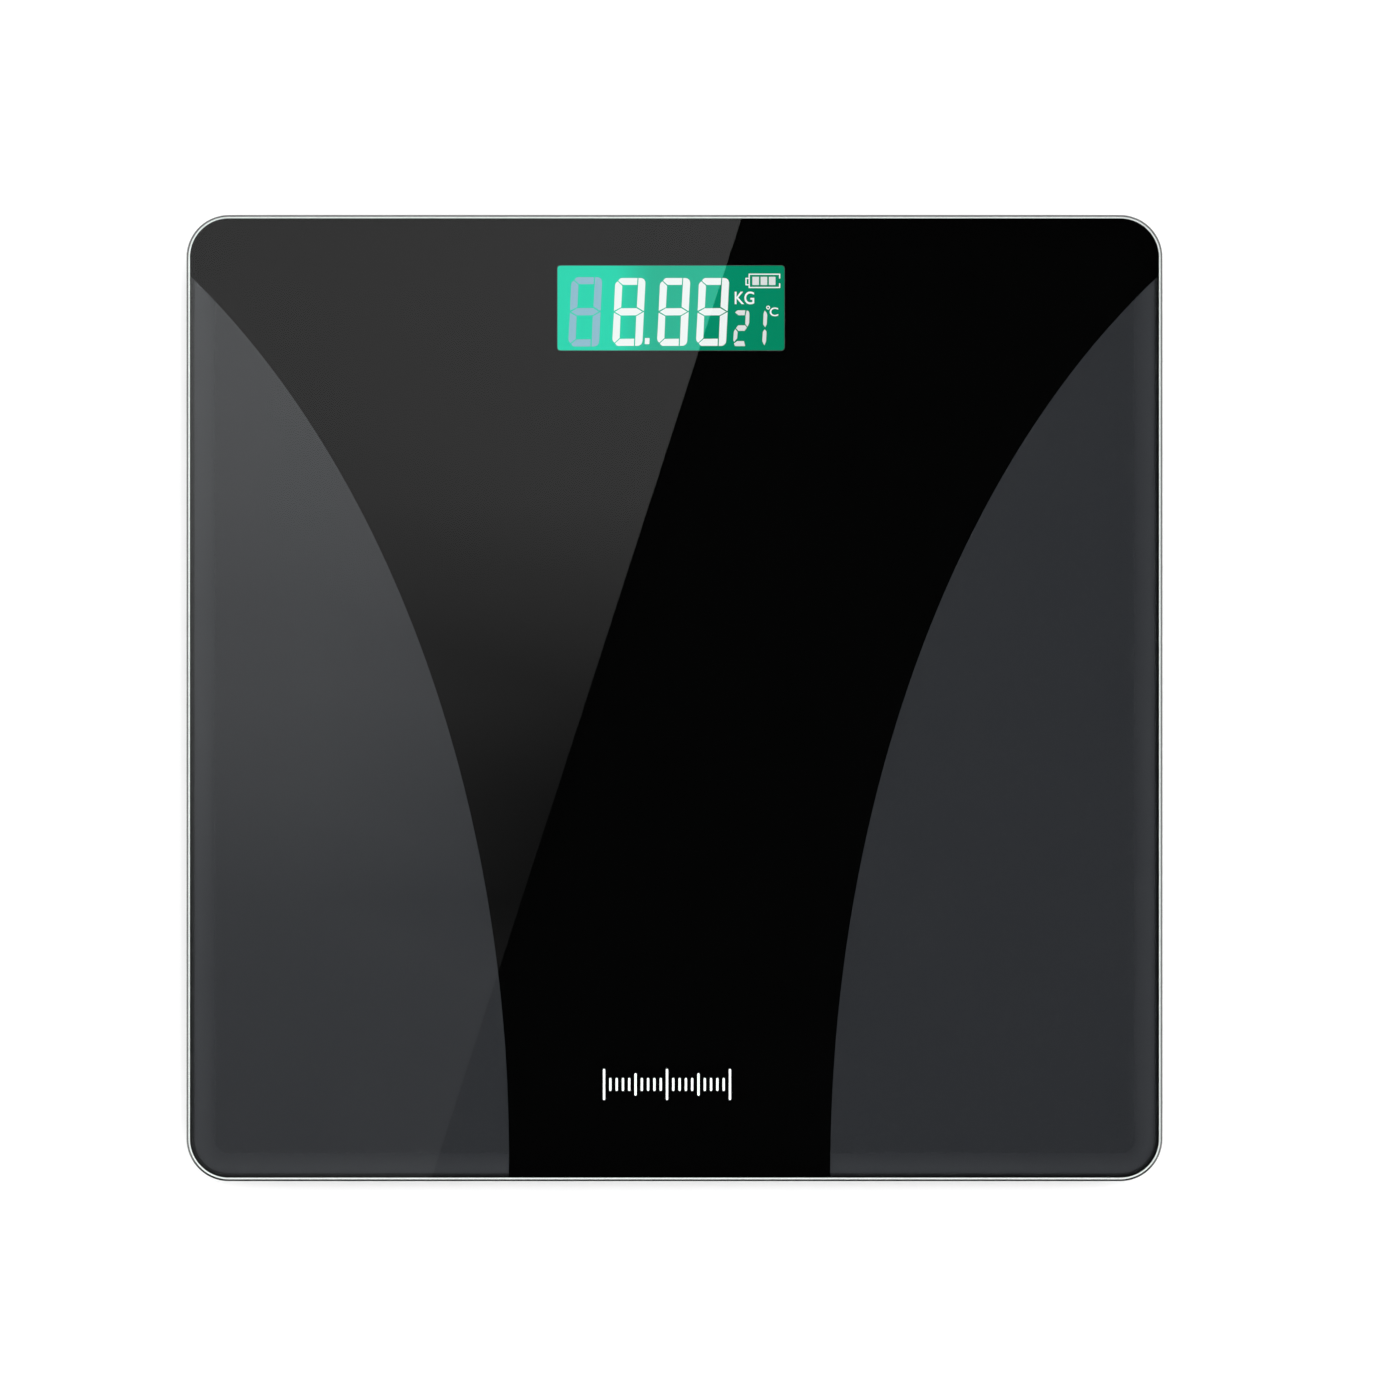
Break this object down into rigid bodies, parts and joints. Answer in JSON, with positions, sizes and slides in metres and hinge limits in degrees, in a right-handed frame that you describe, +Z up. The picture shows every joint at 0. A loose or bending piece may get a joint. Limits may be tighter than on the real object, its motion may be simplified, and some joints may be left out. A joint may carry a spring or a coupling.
{
  "type": "digital bathroom scale",
  "caption": "Square black glass bathroom scale with a lit display along its rear edge, standing on load-cell feet, with a battery door underneath.",
  "frame": {"origin": "on the floor, under the middle of the glass platform", "axes": "+Z is up, out of the glass; +Y points from the user to the display; +X is to the user's right"},
  "size_m": [0.3, 0.297, 0.0228],
  "materials": {
    "tempered_glass": "polished faces, ground and chamfered edges",
    "black_print": "screen-printed film, black with two dark grey panels and a silver line",
    "foam_tape": "closed-cell foam",
    "tray_plastic": "fine moulded texture",
    "label_film": "satin film, blank",
    "door_plastic": "fine moulded texture",
    "battery_sleeve": "shrink sleeve over a steel can",
    "nickel_plate": "nickel plated",
    "lead_red": "extruded insulation",
    "lead_black": "extruded insulation",
    "lead_grey": "extruded insulation",
    "circuit_board": "solder mask",
    "black_epoxy": "cured drop",
    "chip_package": "moulded package",
    "ceramic_parts": "small ceramic parts and solder",
    "crystal_steel": "drawn can",
    "bead_glass": "dipped bead",
    "header_nylon": "moulded nylon",
    "zinc_screw": "zinc plated",
    "switch_body": "moulded",
    "switch_stem": "moulded",
    "button_plastic": "fine moulded texture",
    "lcd_glass": "display glass with polarizer",
    "guide_acrylic": "clear light guide",
    "white_reflector": "diffuse film",
    "led_epoxy": "clear epoxy",
    "zebra_rubber": "layered conductive rubber",
    "holder_plastic": "moulded",
    "cap_plastic": "glass-filled moulding",
    "cell_steel": "nickel-plated spring steel",
    "gauge_silicone": "cured silicone",
    "foot_plastic": "fine moulded texture",
    "pad_rubber": "moulded tread"
  },
  "bodies": {
    "scale_base": {"glass_platform": "tempered_glass", "backing_film": "black_print", "foam_tape_ring": "foam_tape", "adhesive_pads": "foam_tape", "base_tray": "tray_plastic", "blank_label": "label_film", "battery_front": "battery_sleeve", "battery_rear": "battery_sleeve", "contact_plates": "nickel_plate", "contact_springs": "nickel_plate", "battery_lead_red": "lead_red", "battery_lead_black": "lead_black", "main_pcb": "circuit_board", "controller_chip": "black_epoxy", "adc_chip": "chip_package", "pcb_components": "ceramic_parts", "crystal_can": "crystal_steel", "thermistor": "bead_glass", "cell_connectors": "header_nylon", "pcb_screws": "zinc_screw", "tact_switch": "switch_body", "lcd_gasket": "foam_tape", "lcd_front_glass": "lcd_glass", "lcd_rear_glass": "lcd_glass", "backlight_guide": "guide_acrylic", "backlight_reflector": "white_reflector", "backlight_leds": "led_epoxy", "zebra_strip": "zebra_rubber", "lcd_holder": "holder_plastic", "holder_screws": "zinc_screw", "sensor_cap_front_left": "cap_plastic", "load_cell_front_left": "cell_steel", "strain_gauge_front_left": "gauge_silicone", "sensor_lead_front_left": "lead_grey", "sensor_cap_front_right": "cap_plastic", "load_cell_front_right": "cell_steel", "strain_gauge_front_right": "gauge_silicone", "sensor_lead_front_right": "lead_grey", "sensor_cap_rear_left": "cap_plastic", "load_cell_rear_left": "cell_steel", "strain_gauge_rear_left": "gauge_silicone", "sensor_lead_rear_left": "lead_grey", "sensor_cap_rear_right": "cap_plastic", "load_cell_rear_right": "cell_steel", "strain_gauge_rear_right": "gauge_silicone", "sensor_lead_rear_right": "lead_grey"},
    "foot_front_left": {"foot_front_left": "foot_plastic", "rubber_pad_front_left": "pad_rubber"},
    "foot_front_right": {"foot_front_right": "foot_plastic", "rubber_pad_front_right": "pad_rubber"},
    "foot_rear_left": {"foot_rear_left": "foot_plastic", "rubber_pad_rear_left": "pad_rubber"},
    "foot_rear_right": {"foot_rear_right": "foot_plastic", "rubber_pad_rear_right": "pad_rubber"},
    "battery_door": {"battery_door": "door_plastic", "battery_door_latch": "door_plastic"},
    "unit_button": {"unit_button": "button_plastic", "switch_plunger": "switch_stem"}
  },
  "joints": [
    {"name": "foot_front_left_press", "type": "slide", "parent": "scale_base", "child": "foot_front_left", "axis": [0, 0, 1], "range_m": [0, 0.0005], "stiffness_N_per_m": 20000, "deforming": ["load_cell_front_left", "strain_gauge_front_left"]},
    {"name": "foot_front_right_press", "type": "slide", "parent": "scale_base", "child": "foot_front_right", "axis": [0, 0, 1], "range_m": [0, 0.0005], "stiffness_N_per_m": 20000, "deforming": ["load_cell_front_right", "strain_gauge_front_right"]},
    {"name": "foot_rear_left_press", "type": "slide", "parent": "scale_base", "child": "foot_rear_left", "axis": [0, 0, 1], "range_m": [0, 0.0005], "stiffness_N_per_m": 20000, "deforming": ["load_cell_rear_left", "strain_gauge_rear_left"]},
    {"name": "foot_rear_right_press", "type": "slide", "parent": "scale_base", "child": "foot_rear_right", "axis": [0, 0, 1], "range_m": [0, 0.0005], "stiffness_N_per_m": 20000, "deforming": ["load_cell_rear_right", "strain_gauge_rear_right"]},
    {"name": "battery_door_hinge", "type": "hinge", "parent": "scale_base", "child": "battery_door", "pos_m": [0, 0.04645, 0.0035], "axis": [-1, 0, 0], "range_deg": [0, 80], "deforming": ["battery_door_latch"]},
    {"name": "unit_button_press", "type": "slide", "parent": "scale_base", "child": "unit_button", "axis": [0, 0, 1], "range_m": [0, 0.0004], "stiffness_N_per_m": 3000}
  ]
}
